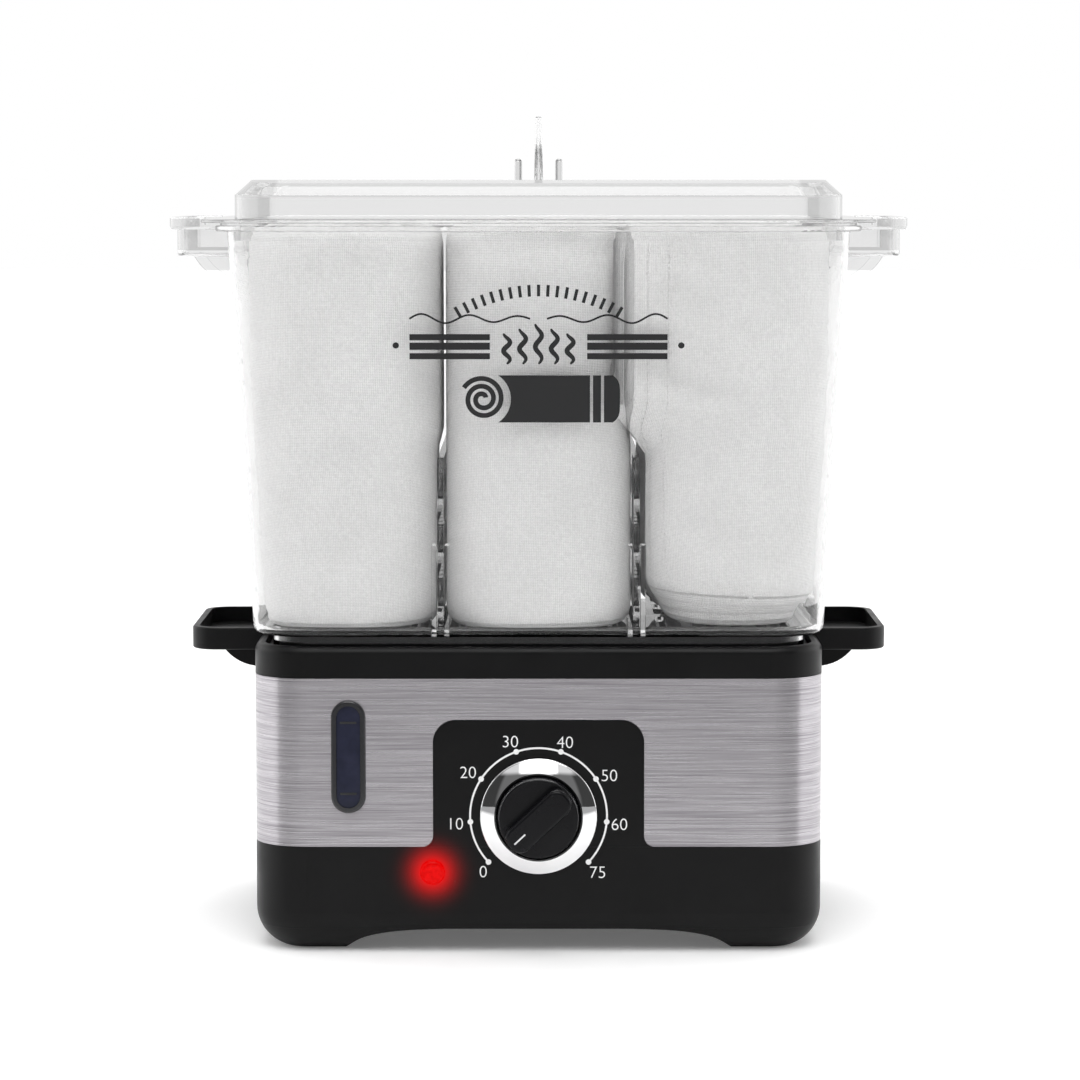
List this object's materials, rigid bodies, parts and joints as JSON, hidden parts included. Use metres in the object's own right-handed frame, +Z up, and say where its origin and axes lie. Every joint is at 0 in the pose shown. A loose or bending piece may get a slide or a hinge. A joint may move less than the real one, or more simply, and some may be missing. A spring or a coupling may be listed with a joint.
{
  "type": "hot towel steamer",
  "caption": "Bench-top hot towel steamer: steel-banded base with timer knob and water gauge, lift-off drip tray, and a clear lidded chamber holding rolled towels.",
  "frame": {"origin": "centre of the footprint, on the bench that the steamer stands on", "axes": "+Z up; the front, with the timer knob and the water gauge, faces -Y; +X is to the right as seen from the front"},
  "size_m": [0.3616, 0.253, 0.402],
  "materials": {
    "black_plastic": "satin black injection-moulded plastic",
    "knob_plastic": "satin black moulded knob",
    "brushed_band": "fine horizontal brushing",
    "gauge_frame": "gloss black",
    "smoked_lens": "smoked blue-black window",
    "print_dark": "printed line",
    "print_white": "white pad print",
    "sight_tube": "clear tube",
    "grey_tub": "dark grey heat-resistant plastic",
    "silicone": "silicone",
    "cast_plate": "cast plate, polished on top",
    "element_steel": "steel sheath",
    "zinc_steel": "zinc-plated steel",
    "phenolic": "brown-black phenolic",
    "nylon": "natural nylon",
    "timer_case": "pressed steel case",
    "brass": "machined",
    "chrome_ring": "chromed, mirror bright",
    "lamp_red": "lit red lens",
    "wire_cover": "insulated wire",
    "black_rubber": "black rubber",
    "clear_plastic": "crystal-clear moulded plastic",
    "towel_cloth": "white cotton terry"
  },
  "bodies": {
    "base": {"base_housing": "black_plastic", "upper_housing": "black_plastic", "moulded_feet": "black_plastic", "bottom_cover": "black_plastic", "bottom_screws": "zinc_steel", "foot_pads": "black_rubber", "steel_band": "brushed_band", "gauge_bezel": "gauge_frame", "gauge_lens": "smoked_lens", "level_marks": "print_dark", "level_tube": "sight_tube", "water_tub": "grey_tub", "heater_gasket": "silicone", "heater_plate": "cast_plate", "heating_element": "element_steel", "heater_clamp": "zinc_steel", "heater_screws": "zinc_steel", "thermostat": "phenolic", "thermal_fuse": "nylon", "timer_body": "timer_case", "timer_nut": "brass", "timer_bell": "zinc_steel", "knob_ring": "chrome_ring", "dial_scale": "print_white", "lamp_lens": "lamp_red", "lamp_holder": "nylon", "terminal_block": "nylon", "inner_wires": "wire_cover", "cord_gland": "black_rubber"},
    "timer_dial": {"timer_knob": "knob_plastic", "knob_pointer": "print_white", "timer_shaft": "brass"},
    "drip_tray": {"drip_tray": "black_plastic"},
    "chamber": {"chamber": "clear_plastic"},
    "divider_left": {"divider_left": "clear_plastic"},
    "divider_right": {"divider_right": "clear_plastic"},
    "lid": {"lid": "clear_plastic"},
    "towel_left": {"towel_left": "towel_cloth"},
    "towel_middle": {"towel_middle": "towel_cloth"},
    "towel_right": {"towel_right": "towel_cloth"}
  },
  "joints": [
    {"name": "tray_lift", "type": "slide", "parent": "base", "child": "drip_tray", "axis": [0, 0, 1], "range_m": [0, 0.12]},
    {"name": "chamber_lift", "type": "slide", "parent": "drip_tray", "child": "chamber", "axis": [0, 0, 1], "range_m": [0, 0.15]},
    {"name": "lid_lift", "type": "slide", "parent": "chamber", "child": "lid", "axis": [0, 0, 1], "range_m": [0, 0.08]},
    {"name": "divider_left_lift", "type": "slide", "parent": "chamber", "child": "divider_left", "axis": [0, 0, 1], "range_m": [0, 0.1]},
    {"name": "divider_right_lift", "type": "slide", "parent": "chamber", "child": "divider_right", "axis": [0, 0, 1], "range_m": [0, 0.1]},
    {"name": "towel_left_lift", "type": "slide", "parent": "chamber", "child": "towel_left", "axis": [0, 0, 1], "range_m": [0, 0.012]},
    {"name": "towel_middle_lift", "type": "slide", "parent": "chamber", "child": "towel_middle", "axis": [0, 0, 1], "range_m": [0, 0.012]},
    {"name": "towel_right_lift", "type": "slide", "parent": "chamber", "child": "towel_right", "axis": [0, 0, 1], "range_m": [0, 0.012]},
    {"name": "timer_turn", "type": "hinge", "parent": "base", "child": "timer_dial", "pos_m": [0, -0.1025, 0.0669], "axis": [0, 1, 0], "range_deg": [0, 266]}
  ]
}
